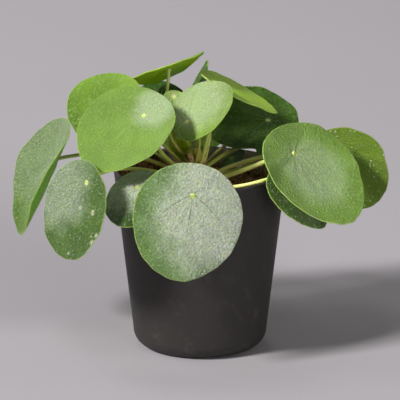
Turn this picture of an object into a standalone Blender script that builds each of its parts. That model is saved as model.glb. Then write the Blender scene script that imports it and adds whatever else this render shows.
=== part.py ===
"""Chinese money plant (Pilea peperomioides) in a tapered round pot, at its real size.

Every piece is one closed solid: the pot, the compost in it, the woody stem that stands in the
compost, and for each leaf a round blade and the stalk that carries it from the stem.

The origin is the centre of the pot's underside, +Z is up and -Y is the front.  A leaf's place is
the hub where its stalk meets the blade.  Its compass says which way the blade's upper face looks:
0 to the front, 90 to the right, -90 to the left.  Its tilt is 0 for a level blade and 90 for an
upright one, and its spin turns the leaf's tip away from straight downhill.
"""
import math
from collections import namedtuple

import bpy
import numpy as np

MM = 0.001                      # the tables below are in millimetres and degrees
CLEARANCE = 0.3                 # gap between pieces that touch
END_CLEARANCE = 0.45            # the same at the flat ends of the stalks

# Pot: a thin tapered shell with a rounded foot and a slim rolled rim
POT_HEIGHT = 131.0
POT_RIM_RADIUS = 62.5
POT_BASE_RADIUS = 47.3          # where the straight wall would meet the ground
POT_WALL = 3.0
POT_FLOOR = 4.0
POT_FOOT_ROUND = 11.0
POT_LIP_ROUND = 1.5
POT_SIDES = 48

# Compost: filled to a little below the rim, slightly heaped towards the stem
SOIL_EDGE_HEIGHT = 116.0
SOIL_HEAP = 2.0
SOIL_SHOULDER_RADIUS = 30.0     # where the heap has fallen to half its height
SOIL_CORNER_INSET = 1.0         # extra inset above the pot's rounded foot
SOIL_SIDES = 40

# Woody stem
STEM_X = -4.0
STEM_Y = 0.0
STEM_BURIED_TO = 104.0
STEM_TOP = 146.0
STEM_RADIUS = 6.0
STEM_FOOT_RADIUS = 7.0          # in the compost
STEM_COLLAR_RADIUS = 6.8        # at the compost's surface
STEM_COLLAR_HEIGHT = 118.0
STEM_COLLAR_TAPER = 2.0         # height over which the collar narrows to the stem
STEM_SIDES = 16

# Leaf blades and stalks
BLADE_THICKNESS = 1.0
BLADE_RINGS = 3
BLADE_SECTORS = 20
STALK_SIDES = 6
STALK_STEPS = 8
STALK_TAPER = 0.9               # radius at the hub as a share of the radius at the root
HUB_REACH = 24.0                # how far below its blade a stalk starts to bend towards the hub
ROOT_REACH = 12.0               # how far a stalk runs out of the stem before it bends
OBLIQUE = (0.31, 0.95, 0.05)    # a direction that no stalk starts along

Leaf = namedtuple("Leaf", "name hub compass tilt spin length width cup bend share egg")
# length and width are the blade's, cup and bend how much its sides and its tip rise above the hub,
# share is how much of the length lies behind the hub, and egg narrows the tip (both in hundredths)
LEAVES = (
    Leaf("a", (-106, 30, 130), -78, 67, -3, 92, 89, 14, 2, 33, 0),
    Leaf("b", (-80, -66, 138), -47, 79, -17, 74, 62, 3, 0, 20, 4),
    Leaf("c", (-40, -34, 179), -23, 43, -30, 76, 68, 6, 1, 27, 6),
    Leaf("d", (-62, 2, 181), -35, 66, -2, 60, 66, 10, -6, 33, 2),
    Leaf("e", (-23, 15, 202), 229, 28, -39, 62, 57, 2, -2, 34, 20),
    Leaf("f", (-9, -25, 172), -43, 53, 154, 51, 48, 1, -3, 25, 8),
    Leaf("g", (-19, 4, 183), 3, 51, 0, 17, 15, 3, 0, 30, 8),
    Leaf("h", (-29, 45, 173), 9, 41, 0, 48, 40, 0, -3, 30, 8),
    Leaf("i", (-2, 54, 178), -78, 63, 147, 32, 38, -1, 2, 33, 8),
    Leaf("j", (19, 18, 188), 95, 29, -22, 63, 59, 1, 1, 33, 17),
    Leaf("k", (-15, 18, 150), -20, 70, 10, 28, 17, 0, -2, 30, 8),
    Leaf("l", (50, 47, 155), 3, 28, -87, 74, 69, 3, 2, 30, 0),
    Leaf("m", (68, -30, 150), 43, 50, 11, 86, 80, 5, 4, 26, 13),
    Leaf("n", (105, 15, 137), 156, 86, -7, 65, 66, -2, 5, 31, 15),
    Leaf("o", (70, -24, 134), 54, 59, -21, 56, 59, -6, 2, 20, 5),
    Leaf("p", (-5, -80, 132), 16, 79, -12, 84, 79, -5, -3, 28, 8),
    Leaf("q", (-44, -62, 134), -31, 37, 4, 49, 46, -4, -3, 34, 8),
    Leaf("r", (24, 30, 131), -60, 43, 48, 19, 22, 0, 0, 30, 8),
    Leaf("s", (49, 12, 144), 30, 40, 0, 24, 22, 0, 0, 30, 8),
    Leaf("t", (-10, 70, 142), 175, 40, 0, 60, 56, 3, 0, 30, 8),
    Leaf("u", (41, 80, 141), 150, 45, 0, 58, 55, 3, 0, 30, 8),
    Leaf("v", (-52, 55, 139), -140, 50, 0, 52, 50, 3, 0, 30, 8),
)

Stalk = namedtuple("Stalk", "leaf turn height radius near far")
# turn and height place the stalk's root on the stem; near and far are the points that its curve
# bends towards after the root and before the hub, or None where it takes the usual reach
STALKS = (
    Stalk("a", -92, 122, 1.5, (-38, 4, 144), (-76, 20, 139)),
    Stalk("b", -58, 121, 1.4, (-34, -12, 136), (-68, -48, 148)),
    Stalk("c", -62, 128, 1.6, (-34, -6, 142), None),
    Stalk("d", -98, 131, 1.3, (-28, 10, 146), (-46, 20, 166)),
    Stalk("e", -118, 137, 1.3, (-34, 8, 158), (-22, 13, 180)),
    Stalk("f", 8, 134, 1.2, (-2, -14, 148), None),
    Stalk("g", -150, 143, 0.8, None, None),
    Stalk("h", 150, 137, 1.2, (4, 34, 140), (-22, 58, 152)),
    Stalk("i", 100, 129, 1.2, (8, 2, 150), (12, 30, 166)),
    Stalk("j", 45, 131, 1.6, (5, -4, 148), None),
    Stalk("k", 170, 141, 0.9, (-3, 18, 144), (-8, 27, 150)),
    Stalk("l", 125, 126, 1.5, None, (42, 42, 140)),
    Stalk("m", 62, 123, 1.8, (20, -14, 124), (50, -22, 147)),
    Stalk("n", 88, 122, 1.5, (40, -4, 146), (90, -10, 150)),
    Stalk("o", 35, 120.5, 1.3, (28, -50, 124), (50, -44, 139)),
    Stalk("p", 5, 126, 1.7, (-4, -36, 150), (-4, -64, 141)),
    Stalk("q", -28, 121, 1.2, (-22, -34, 136), (-38, -50, 142)),
    Stalk("r", 135, 120.5, 0.9, (20, 14, 119), (32, 33, 121)),
    Stalk("s", 105, 125, 1.0, (22, 12, 124), None),
    Stalk("t", 180, 125, 1.4, None, None),
    Stalk("u", 150, 124, 1.4, None, (38, 68, 146)),
    Stalk("v", -150, 124, 1.3, (-20, 18, 126), (-44, 46, 141)),
)


def clear_scene():
    """Start from an empty scene."""
    for item in list(bpy.data.objects):
        bpy.data.objects.remove(item, do_unlink=True)


def material(name, colour, roughness):
    """A plain non-metallic finish of one colour."""
    made = bpy.data.materials.new(name)
    made.use_nodes = True
    shader = made.node_tree.nodes["Principled BSDF"]
    shader.inputs["Base Color"].default_value = (*colour, 1.0)
    shader.inputs["Roughness"].default_value = roughness
    shader.inputs["Metallic"].default_value = 0.0
    return made


def add_object(name, points, faces, finish, edges=()):
    """A mesh object from points in millimetres, smooth shaded."""
    mesh = bpy.data.meshes.new(name)
    mesh.from_pydata((np.asarray(points, float) * MM).tolist(), edges, faces)
    mesh.materials.append(finish)
    mesh.shade_smooth()
    mesh.update()
    made = bpy.data.objects.new(name, mesh)
    bpy.context.scene.collection.objects.link(made)
    return made


def turned(name, profile, sides, finish):
    """A solid of revolution about Z; the profile runs down its outer side, axis to axis."""
    points = [(radius, 0.0, height) for radius, height in profile]
    edges = [(index, index + 1) for index in range(len(points) - 1)]
    made = add_object(name, points, [], finish, edges)
    screw = made.modifiers.new("turn", "SCREW")
    screw.steps = sides
    screw.render_steps = sides
    screw.use_merge_vertices = True
    screw.merge_threshold = 0.00001
    screw.use_smooth_shade = True
    return made


def arc(centre, radius, start, stop, steps):
    """Points on a circle in the radius and height plane, from one angle to another."""
    angles = np.radians(np.linspace(start, stop, steps))
    return [(centre[0] + radius * math.cos(a), centre[1] + radius * math.sin(a)) for a in angles]


def wall_radius(height, inset=0.0):
    """Radius of the pot's straight outer wall at a height, less an inset."""
    slope = (POT_RIM_RADIUS - POT_BASE_RADIUS) / POT_HEIGHT
    return POT_BASE_RADIUS + slope * height - inset


def direction(compass):
    """Level unit vector that points to a compass angle."""
    angle = math.radians(compass)
    return np.array([math.sin(angle), -math.cos(angle), 0.0])


def leaf_axes(leaf):
    """The blade's upward normal, the way to its tip, and its side."""
    outward = direction(leaf.compass)
    tilt = math.radians(leaf.tilt)
    spin = math.radians(leaf.spin)
    up = np.array([0.0, 0.0, 1.0])
    normal = math.sin(tilt) * outward + math.cos(tilt) * up
    downhill = math.cos(tilt) * outward - math.sin(tilt) * up
    tip = downhill * math.cos(spin) + np.cross(normal, downhill) * math.sin(spin)
    return normal, tip, np.cross(normal, tip)


def blade_point(leaf, reach, turn):
    """A point of the upper face: reach 0 at the hub and 1 at the rim, turn 0 towards the tip.

    Along the tip axis x = reach * (c + a * cos(turn)), across it
    y = reach * b * sin(turn) * (1 - egg * cos(turn)), with a and b half the length and width and
    c the distance from the hub to the blade's middle.  The face rises by cup * (y/b)^2 at its
    sides and by bend * (x/a)^2 towards tip and back.
    """
    normal, tip, side = leaf_axes(leaf)
    half_length = leaf.length / 2
    half_width = leaf.width / 2
    middle = half_length * (1 - 2 * leaf.share / 100)
    x = reach * (middle + half_length * math.cos(turn))
    y = reach * half_width * math.sin(turn) * (1 - leaf.egg / 100 * math.cos(turn))
    rise = leaf.cup * (y / half_width) ** 2 + leaf.bend * (x / half_length) ** 2
    return np.array(leaf.hub, float) + x * tip + y * side + rise * normal


def add_blade(leaf, finish):
    """One leaf blade: a fan of rings around the hub, thickened downwards."""
    points = [blade_point(leaf, 0.0, 0.0)]
    for ring in range(1, BLADE_RINGS + 1):
        for sector in range(BLADE_SECTORS):
            points.append(blade_point(leaf, ring / BLADE_RINGS, math.tau * sector / BLADE_SECTORS))
    faces = []
    for sector in range(BLADE_SECTORS):
        after = (sector + 1) % BLADE_SECTORS
        faces.append((0, 1 + sector, 1 + after))
        for ring in range(BLADE_RINGS - 1):
            inner = 1 + ring * BLADE_SECTORS
            outer = inner + BLADE_SECTORS
            faces.append((inner + sector, outer + sector, outer + after, inner + after))
    made = add_object("blade_" + leaf.name, points, faces, finish)
    shell = made.modifiers.new("thickness", "SOLIDIFY")
    shell.thickness = BLADE_THICKNESS * MM
    shell.offset = -1.0
    return made


def tube(name, path, radii, sides, finish):
    """A closed tube along a path, with a radius at each point and flat ends."""
    path = np.asarray(path, float)
    tangents = np.gradient(path, axis=0)
    tangents /= np.linalg.norm(tangents, axis=1)[:, None]
    across = np.cross(tangents[0], OBLIQUE)
    points = []
    for centre, tangent, radius in zip(path, tangents, radii):
        across = across - tangent * np.dot(across, tangent)
        across /= np.linalg.norm(across)
        other = np.cross(tangent, across)
        for side in range(sides):
            angle = math.tau * side / sides
            points.append(centre + radius * (math.cos(angle) * across + math.sin(angle) * other))
    faces = [tuple(reversed(range(sides)))]
    for step in range(len(path) - 1):
        for side in range(sides):
            after = (side + 1) % sides
            low = step * sides
            high = low + sides
            faces.append((low + side, low + after, high + after, high + side))
    faces.append(tuple(range(len(points) - sides, len(points))))
    return add_object(name, points, faces, finish)


def bezier(start, near, far, end, steps):
    """Points along a cubic curve."""
    t = np.linspace(0.0, 1.0, steps + 1)[:, None]
    return (1 - t) ** 3 * start + 3 * (1 - t) ** 2 * t * near + 3 * (1 - t) * t ** 2 * far + t ** 3 * end


def face_offset(radius, run, normal):
    """Distance from a face to a flat tube end that arrives along run, so that its edge just clears."""
    run = run / np.linalg.norm(run)
    lean = math.sqrt(max(0.0, 1.0 - float(np.dot(run, normal)) ** 2))
    return END_CLEARANCE + radius * lean


def add_stalk(stalk, leaf, finish):
    """One leaf stalk, from the stem's surface to the underside of its blade at the hub."""
    outward = direction(stalk.turn)
    axis = np.array([STEM_X, STEM_Y, stalk.height])
    root = axis + STEM_RADIUS * outward
    near = stalk.near
    if near is None:
        near = root + ROOT_REACH * (outward + np.array([0.0, 0.0, 1.0]))
    near = np.array(near, float)
    normal = leaf_axes(leaf)[0]
    hub = np.array(leaf.hub, float) - BLADE_THICKNESS * normal
    far = stalk.far
    if far is None:
        far = hub - HUB_REACH * normal
    far = np.array(far, float)
    start = root + outward * face_offset(stalk.radius, near - root, outward)
    end = hub - normal * face_offset(stalk.radius * STALK_TAPER, hub - far, normal)
    path = bezier(start, near, far, end, STALK_STEPS)
    radii = stalk.radius * np.linspace(1.0, STALK_TAPER, len(path))
    return tube("stalk_" + leaf.name, path, radii, STALK_SIDES, finish)


def add_pot(finish):
    """The pot: inner floor, inner wall, rolled rim, outer wall, rounded foot and flat underside."""
    lean = math.degrees(math.atan2(POT_RIM_RADIUS - POT_BASE_RADIUS, POT_HEIGHT))
    rim_height = POT_HEIGHT - POT_LIP_ROUND
    rim_centre = (wall_radius(rim_height, POT_LIP_ROUND), rim_height)
    foot_centre = (wall_radius(POT_FOOT_ROUND, POT_FOOT_ROUND), POT_FOOT_ROUND)
    inner_round = POT_FOOT_ROUND - POT_WALL
    floor_centre = (foot_centre[0], POT_FLOOR + inner_round)
    profile = [(0.0, POT_FLOOR)]
    profile += arc(floor_centre, inner_round, -90, -lean, 5)
    profile += arc(rim_centre, POT_LIP_ROUND, 180 - lean, -lean, 7)
    profile += arc(foot_centre, POT_FOOT_ROUND, -lean, -90, 7)
    profile += [(0.0, 0.0)]
    return turned("pot", profile, POT_SIDES, finish)


def add_soil(finish):
    """The compost: it fills the pot's inside to below the rim, with a socket for the stem."""
    inset = POT_WALL + CLEARANCE * 2
    bottom = POT_FLOOR + CLEARANCE
    corner = POT_FOOT_ROUND
    profile = [(0.0, SOIL_EDGE_HEIGHT + SOIL_HEAP)]
    profile += [(SOIL_SHOULDER_RADIUS, SOIL_EDGE_HEIGHT + SOIL_HEAP / 2)]
    profile += [(wall_radius(SOIL_EDGE_HEIGHT, inset), SOIL_EDGE_HEIGHT)]
    profile += [(wall_radius(bottom + corner, inset + SOIL_CORNER_INSET), bottom + corner)]
    profile += [(wall_radius(bottom, inset + corner), bottom)]
    profile += [(0.0, bottom)]
    soil = turned("soil", profile, SOIL_SIDES, finish)
    low = (STEM_X, STEM_Y, STEM_BURIED_TO - CLEARANCE)
    high = (STEM_X, STEM_Y, STEM_TOP)
    width = STEM_FOOT_RADIUS + CLEARANCE
    socket = tube("stem_socket_cutter", [low, high], [width, width], STEM_SIDES, finish)
    socket.hide_render = True
    socket.display_type = "WIRE"
    cut = soil.modifiers.new("stem socket", "BOOLEAN")
    cut.operation = "DIFFERENCE"
    cut.object = socket
    return soil


def add_stem(finish):
    """The stem: thickest where it leaves the compost, with a rounded top."""
    profile = (
        (STEM_BURIED_TO, STEM_FOOT_RADIUS),
        (STEM_COLLAR_HEIGHT, STEM_COLLAR_RADIUS),
        (STEM_COLLAR_HEIGHT + STEM_COLLAR_TAPER, STEM_RADIUS),
        (STEM_TOP - 3.0, STEM_RADIUS),
        (STEM_TOP - 1.0, STEM_RADIUS * 0.8),
        (STEM_TOP, STEM_RADIUS * 0.4),
    )
    path = [(STEM_X, STEM_Y, height) for height, radius in profile]
    radii = [radius for height, radius in profile]
    return tube("stem", path, radii, STEM_SIDES, finish)


def build():
    """Make every piece of the plant and its pot."""
    clear_scene()
    add_pot(material("pot_charcoal", (0.030, 0.028, 0.027), 0.6))
    add_soil(material("compost_brown", (0.045, 0.028, 0.018), 0.95))
    add_stem(material("stem_bark", (0.16, 0.12, 0.06), 0.8))
    blade_finish = material("leaf_green", (0.10, 0.24, 0.05), 0.4)
    stalk_finish = material("stalk_green", (0.32, 0.38, 0.10), 0.45)
    leaves = {leaf.name: leaf for leaf in LEAVES}
    for leaf in LEAVES:
        add_blade(leaf, blade_finish)
    for stalk in STALKS:
        add_stalk(stalk, leaves[stalk.leaf], stalk_finish)


build()
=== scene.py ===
"""Looks of a Chinese money plant in its pot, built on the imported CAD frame."""

import math
from collections import namedtuple

import bpy
import numpy as np
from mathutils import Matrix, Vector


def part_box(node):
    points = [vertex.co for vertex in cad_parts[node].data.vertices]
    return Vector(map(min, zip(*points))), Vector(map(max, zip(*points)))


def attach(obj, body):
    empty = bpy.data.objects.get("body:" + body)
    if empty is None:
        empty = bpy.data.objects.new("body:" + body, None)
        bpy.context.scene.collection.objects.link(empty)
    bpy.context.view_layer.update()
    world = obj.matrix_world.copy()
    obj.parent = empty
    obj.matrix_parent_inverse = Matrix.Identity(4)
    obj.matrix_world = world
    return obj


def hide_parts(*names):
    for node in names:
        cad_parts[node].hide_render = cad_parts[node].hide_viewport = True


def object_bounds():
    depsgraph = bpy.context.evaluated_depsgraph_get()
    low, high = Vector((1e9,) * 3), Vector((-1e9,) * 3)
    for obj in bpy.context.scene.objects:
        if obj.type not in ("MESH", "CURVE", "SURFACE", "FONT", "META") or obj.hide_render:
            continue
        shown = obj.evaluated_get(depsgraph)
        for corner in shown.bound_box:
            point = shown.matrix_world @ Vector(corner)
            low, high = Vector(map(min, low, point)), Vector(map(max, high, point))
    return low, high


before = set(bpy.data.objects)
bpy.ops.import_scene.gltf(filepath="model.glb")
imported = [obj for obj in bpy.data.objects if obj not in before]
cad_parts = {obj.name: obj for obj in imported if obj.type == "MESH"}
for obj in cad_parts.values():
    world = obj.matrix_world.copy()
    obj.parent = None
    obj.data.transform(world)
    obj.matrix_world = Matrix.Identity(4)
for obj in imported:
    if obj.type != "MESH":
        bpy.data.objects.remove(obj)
cad_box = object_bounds()


# ---------------------------------------------------------------------------------------------
# Pot: an injection-moulded plastic planter, thin walled and tapered, with a rounded foot and a
# slim rolled rim.  The outside has a dead matte, faintly pebbled finish.
# ---------------------------------------------------------------------------------------------

# sizes are in millimetres throughout, and the scene is in metres
MM = 0.001


class Wire:
    """One number running through a material; arithmetic on it adds Math nodes."""

    def __init__(self, finish, socket):
        self.finish = finish
        self.socket = socket

    def _math(self, operation, first, second=None):
        values = {0: first} if second is None else {0: first, 1: second}
        return self.finish.add("ShaderNodeMath", {"operation": operation}, values)

    def __add__(self, other):
        return self._math("ADD", self, other)

    def __radd__(self, other):
        return self._math("ADD", other, self)

    def __sub__(self, other):
        return self._math("SUBTRACT", self, other)

    def __rsub__(self, other):
        return self._math("SUBTRACT", other, self)

    def __mul__(self, other):
        return self._math("MULTIPLY", self, other)

    def __rmul__(self, other):
        return self._math("MULTIPLY", other, self)

    def __truediv__(self, other):
        return self._math("DIVIDE", self, other)

    def __pow__(self, other):
        return self._math("POWER", self, other)

    def __abs__(self):
        return self._math("ABSOLUTE", self)

    def sine(self):
        """Sine of an angle in radians."""
        return self._math("SINE", self)

    def larger(self, other):
        """The larger of two numbers."""
        return self._math("MAXIMUM", self, other)

    def between(self, low, high):
        """0 up to low, 1 from high, and a smooth step from one to the other (low may be above high)."""
        sockets = {"Value": self, "From Min": low, "From Max": high}
        return self.finish.add("ShaderNodeMapRange", {"interpolation_type": "SMOOTHSTEP"}, sockets)


class Finish:
    """A material being put together around one Principled shader."""

    def __init__(self, name, **steady):
        self.material = bpy.data.materials.new(name)
        self.material.use_nodes = True
        self.tree = self.material.node_tree
        self.shader = self.tree.nodes["Principled BSDF"]
        for socket, value in steady.items():
            self.shader.inputs[socket.replace("_", " ")].default_value = value

    def add(self, kind, settings=None, sockets=None, out=0):
        """Adds one node: its settings first, then its sockets' values or links; returns an output."""
        node = self.tree.nodes.new(kind)
        for key, value in (settings or {}).items():
            setattr(node, key, value)
        for key, value in (sockets or {}).items():
            if isinstance(value, Wire):
                self.tree.links.new(value.socket, node.inputs[key])
            else:
                node.inputs[key].default_value = value
        return Wire(self, node.outputs[out])

    def place(self):
        """Where a point lies on the finished object, in metres."""
        return self.add("ShaderNodeTexCoord", out="Object")

    def attribute(self, name):
        """A number stored on the piece's own mesh."""
        return self.add("ShaderNodeAttribute", {"attribute_name": name}, out="Fac")

    def noise(self, place, scale, detail=3.0, roughness=0.5):
        """Cloudy noise, about 0.5 on average."""
        sockets = {"Vector": place, "Scale": scale, "Detail": detail, "Roughness": roughness}
        return self.add("ShaderNodeTexNoise", None, sockets, "Fac")

    def part(self, place, axis):
        """One coordinate of a place: X, Y or Z."""
        return self.add("ShaderNodeSeparateXYZ", None, {0: place}, axis)

    def cells(self, place, scale, feature="F1"):
        """Distance to the nearest cell point, or to the nearest cell edge."""
        sockets = {"Vector": place, "Scale": scale}
        return self.add("ShaderNodeTexVoronoi", {"feature": feature}, sockets, "Distance")

    def blend(self, factor, first, second):
        """Colour that goes from first to second as factor goes from 0 to 1."""
        return self.add("ShaderNodeMix", {"data_type": "RGBA"}, {0: factor, 6: first, 7: second}, 2)

    def bump(self, height, depth, strength=1.0):
        """Normal of a surface whose relief is height times depth, in metres."""
        return self.add("ShaderNodeBump", None, {"Height": height, "Distance": depth, "Strength": strength})

    def feed(self, **wires):
        """Links what varies over the surface to the shader."""
        for socket, value in wires.items():
            self.tree.links.new(value.socket, self.shader.inputs[socket.replace("_", " ")])
        return self.material


def tone(red, green, blue):
    """Linear colour of a display colour given in steps of 0 to 255."""
    steps = np.array([red, green, blue]) / 255.0
    linear = np.where(steps <= 0.04045, steps / 12.92, ((steps + 0.055) / 1.055) ** 2.4)
    return (*(round(float(part), 5) for part in linear), 1.0)


def rolled_mesh(name, rows, start=None, end=None, marks=None, chart=None):
    """Mesh from closed rings of points (rings x points x 3), each joined to the next.

    A start or end point closes the first or last ring with a fan.  Rings run so that faces look
    away from the axis as the rings advance.  marks are numbers per vertex by name, and chart is a
    pair of flat coordinates per vertex that becomes the UV map; both list start, rings, end.
    """
    count, around = rows.shape[:2]
    parts = [rows.reshape(-1, 3)]
    first = 0
    if start is not None:
        parts.insert(0, np.reshape(start, (1, 3)))
        first = 1
    if end is not None:
        parts.append(np.reshape(end, (1, 3)))
    points = np.concatenate(parts)
    ring = np.arange(count - 1)[:, None] * around + first
    here = np.arange(around)[None, :]
    after = (here + 1) % around
    quads = np.stack([ring + here, ring + around + here, ring + around + after, ring + after], -1)
    faces = quads.reshape(-1, 4).tolist()
    if start is not None:
        faces += np.stack([0 * here[0], 1 + here[0], 1 + after[0]], -1).tolist()
    if end is not None:
        last = first + (count - 1) * around
        faces += np.stack([last + after[0], last + here[0], 0 * here[0] + len(points) - 1], -1).tolist()
    mesh = bpy.data.meshes.new(name)
    mesh.from_pydata(points.tolist(), [], faces)
    for key, values in (marks or {}).items():
        layer = mesh.attributes.new(key, "FLOAT", "POINT")
        layer.data.foreach_set("value", np.asarray(values, np.float32).ravel())
    if chart is not None:
        corner = np.empty(len(mesh.loops), np.int32)
        mesh.loops.foreach_get("vertex_index", corner)
        layer = mesh.uv_layers.new(name="leaf_chart")
        layer.data.foreach_set("uv", np.asarray(chart, np.float32)[corner].ravel())
    mesh.shade_smooth()
    return mesh


def install(name, mesh, finish, slot, *nodes):
    """Puts a finished mesh in the scene as one piece of the object, in place of its CAD nodes."""
    piece = bpy.data.objects.new(name, mesh)
    bpy.context.scene.collection.objects.link(piece)
    mesh.materials.append(finish)
    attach(piece, "root")
    if nodes:
        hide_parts(*nodes)
    return piece


def turned_rows(profile, around):
    """Rings of a profile of (radius, height) pairs turned about the upright axis."""
    profile = np.asarray(profile, float)
    turn = np.linspace(0.0, math.tau, around, endpoint=False)[None, :]
    radius = profile[:, :1]
    height = np.broadcast_to(profile[:, 1:], (len(profile), around))
    return np.stack([radius * np.cos(turn), radius * np.sin(turn), height], -1)


def arc(centre, radius, start, stop, steps):
    """centre + radius * (cos, sin) of angles from start to stop in degrees: radius and height."""
    angles = np.radians(np.linspace(start, stop, steps))
    return np.stack([centre[0] + radius * np.cos(angles), centre[1] + radius * np.sin(angles)], -1)


pot_low, pot_high = (np.array(corner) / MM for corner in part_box("pot"))
POT_HEIGHT = pot_high[2]
POT_RIM_RADIUS = (pot_high[0] - pot_low[0]) / 2
POT_BASE_SHARE = 0.757
POT_BASE_RADIUS = POT_RIM_RADIUS * POT_BASE_SHARE
POT_SECTORS = 180
POT_WALL = 3.0
POT_FLOOR = 4.0
POT_FOOT_ROUND = 11.0
POT_LIP_ROUND = 1.5
# the bead is a slight thickening inside the lip: how much it stands in, and its heights below the
# middle of the lip's round
POT_LIP_BEAD = 0.35
POT_BEAD_TOP = 1.6
POT_BEAD_LOW = 2.2
POT_INNER_LOW = 24.0

PLASTIC_DARK = tone(34, 31, 30)
PLASTIC_LIGHT = tone(42, 39, 37)
PLASTIC_GRAIN = tone(74, 70, 67)
POT_DUST = tone(92, 88, 83)
POT_WEAR = tone(96, 92, 88)
# painted light: the pale tint laid on the right of the pot's inner wall
WALL_PAINTED_LIGHT = tone(236, 233, 230)
WALL_SPLASH = tone(176, 134, 86)
PEBBLE_DEPTH = 0.00012


def pot_wall(height, inset=0.0):
    """Radius of the straight outer wall at a height, less an inset."""
    return POT_BASE_RADIUS + (POT_RIM_RADIUS - POT_BASE_RADIUS) * height / POT_HEIGHT - inset


def wall_point(height, inset=0.0):
    """Radius and height of a point on the wall's section."""
    return (pot_wall(height, inset), height)


def pot_mesh():
    """The wall's section turned about the axis: floor, inner wall, rim, outer wall and foot.

    The straight parts are lines and the inner foot, the lip and the outer foot are arcs.
    """
    lean = math.degrees(math.atan2(POT_RIM_RADIUS - POT_BASE_RADIUS, POT_HEIGHT))
    inner_round = POT_FOOT_ROUND - POT_WALL
    foot = wall_point(POT_FOOT_ROUND, POT_FOOT_ROUND)
    lip = wall_point(POT_HEIGHT - POT_LIP_ROUND, POT_LIP_ROUND)
    near_axle = 0.1 * foot[0]
    near_foot = 0.9 * foot[0]
    section = np.concatenate([
        np.linspace((near_axle, POT_FLOOR), (near_foot, POT_FLOOR), 6),
        arc((foot[0], POT_FLOOR + inner_round), inner_round, -90, -lean, 10),
        np.linspace(wall_point(POT_INNER_LOW, POT_WALL), wall_point(lip[1] - 4, POT_WALL), 40),
        [wall_point(lip[1] - POT_BEAD_LOW, POT_WALL)],
        [wall_point(lip[1] - POT_BEAD_TOP, POT_WALL + POT_LIP_BEAD)],
        arc(lip, POT_LIP_ROUND, 178 - lean, -lean, 17),
        np.linspace(wall_point(lip[1] - POT_LIP_ROUND), wall_point(POT_FOOT_ROUND + 2), 60),
        arc(foot, POT_FOOT_ROUND, -lean, -90, 16),
        np.linspace((near_foot, 0.0), (near_axle, 0.0), 6),
    ])
    rows = turned_rows(section, POT_SECTORS) * MM
    floor = (0.0, 0.0, POT_FLOOR * MM)
    return rolled_mesh("pot_shell", rows, floor, (0.0, 0.0, 0.0))


def pot_finish():
    """Charcoal moulded plastic: pebbled at two scales, dusty in places, a little worn at the foot.

    Inside, the right of the wall is lightened with painted light, and compost has splashed the wall lower
    down.
    """
    made = Finish("pot_charcoal_plastic", IOR=1.46, Specular_IOR_Level=0.3)
    place = made.place()
    height = made.part(place, "Z")
    right = made.part(place, "X")
    back = made.part(place, "Y")
    axle = (right * right + back * back) ** 0.5
    slope = (POT_RIM_RADIUS - POT_BASE_RADIUS) / POT_HEIGHT
    depth = POT_BASE_RADIUS * MM + height * slope - axle
    inside = depth.between(0.0018, 0.0028) * height.between(0.02, 0.03)
    cloud = made.noise(place, 22.0, 4.0)
    pebble = made.noise(place, 2600.0, 2.0)
    orange_peel = made.noise(place, 700.0, 2.0)
    dust = made.noise(place, 90.0, 6.0, 0.7).between(0.52, 0.78)
    rub = height.between(0.014, 0.0) * made.noise(place, 260.0, 3.0).between(0.4, 0.75)
    # painted light: the right of the inner wall is lightened, with a cloudy edge
    painted_wall_light = inside * right.between(-0.04, 0.01) * (0.55 + 0.5 * made.noise(place, 60.0, 4.0, 0.6))
    crumb = made.noise(place, 320.0, 4.0, 0.7).between(0.4, 0.58)
    splash = crumb * inside * height.between(0.129, 0.12)
    colour = made.blend(cloud, PLASTIC_DARK, PLASTIC_LIGHT)
    colour = made.blend(dust * 0.25, colour, POT_DUST)
    colour = made.blend(rub * 0.12, colour, POT_WEAR)
    colour = made.blend(pebble.between(0.35, 0.7) * 0.22, colour, PLASTIC_GRAIN)
    colour = made.blend(painted_wall_light, colour, WALL_PAINTED_LIGHT)
    colour = made.blend(splash, colour, WALL_SPLASH)
    relief = made.bump(pebble * 0.6 + orange_peel * 0.4, PEBBLE_DEPTH, 0.35)
    return made.feed(Base_Color=colour, Roughness=0.5 + 0.16 * cloud + 0.08 * dust, Normal=relief)


install("pot_shell", pot_mesh(), pot_finish(), "pot_charcoal", "pot")


# ---------------------------------------------------------------------------------------------
# Compost: moist peat and composted bark that fills the pot to below its rim.  Loose crumbs,
# chips and threads of bark and a few white grains of perlite lie on it.
# ---------------------------------------------------------------------------------------------

soil_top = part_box("soil")[1][2] / MM
SOIL_HEAP = 1.6
SOIL_EDGE = soil_top - 2.0
SOIL_RADIUS = pot_wall(SOIL_EDGE, POT_WALL)
stem_low, stem_high = (np.array(corner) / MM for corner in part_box("stem"))
STEM_AXIS = (stem_low + stem_high)[:2] / 2
SOIL_BOTTOM = 20.0
SOIL_SECTORS = 240
LATTICE = 64
# height, size and seed of the lumps, from the largest to the smallest
SOIL_LUMPS = ((1.0, 9.0, 3), (0.7, 3.6, 4), (0.35, 1.5, 5))
# loose lumps: how near the wall they come, how high they sit, how far they stay from the stem's
# middle, and the rings and corners of each
LOOSE_REACH = 0.97
LOOSE_LIFT = 0.35
STEM_CLEARANCE = 6.0
LUMP_RINGS = 3
LUMP_CORNERS = 6


def value_noise(x, y, size, seed):
    """Smooth hills of about +-1: random heights on a square lattice of that size, eased between."""
    lattice = np.random.default_rng(seed).uniform(-1, 1, (LATTICE, LATTICE))
    column = np.asarray(x) / size + LATTICE / 2
    row = np.asarray(y) / size + LATTICE / 2
    left = np.floor(column).astype(int)
    low = np.floor(row).astype(int)
    across = column - left
    along = row - low
    across = across * across * (3 - 2 * across)
    along = along * along * (3 - 2 * along)
    right = (left + 1) % LATTICE
    high = (low + 1) % LATTICE
    left = left % LATTICE
    low = low % LATTICE
    near = lattice[low, left] * (1 - across) + lattice[low, right] * across
    far = lattice[high, left] * (1 - across) + lattice[high, right] * across
    return near * (1 - along) + far * along


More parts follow.
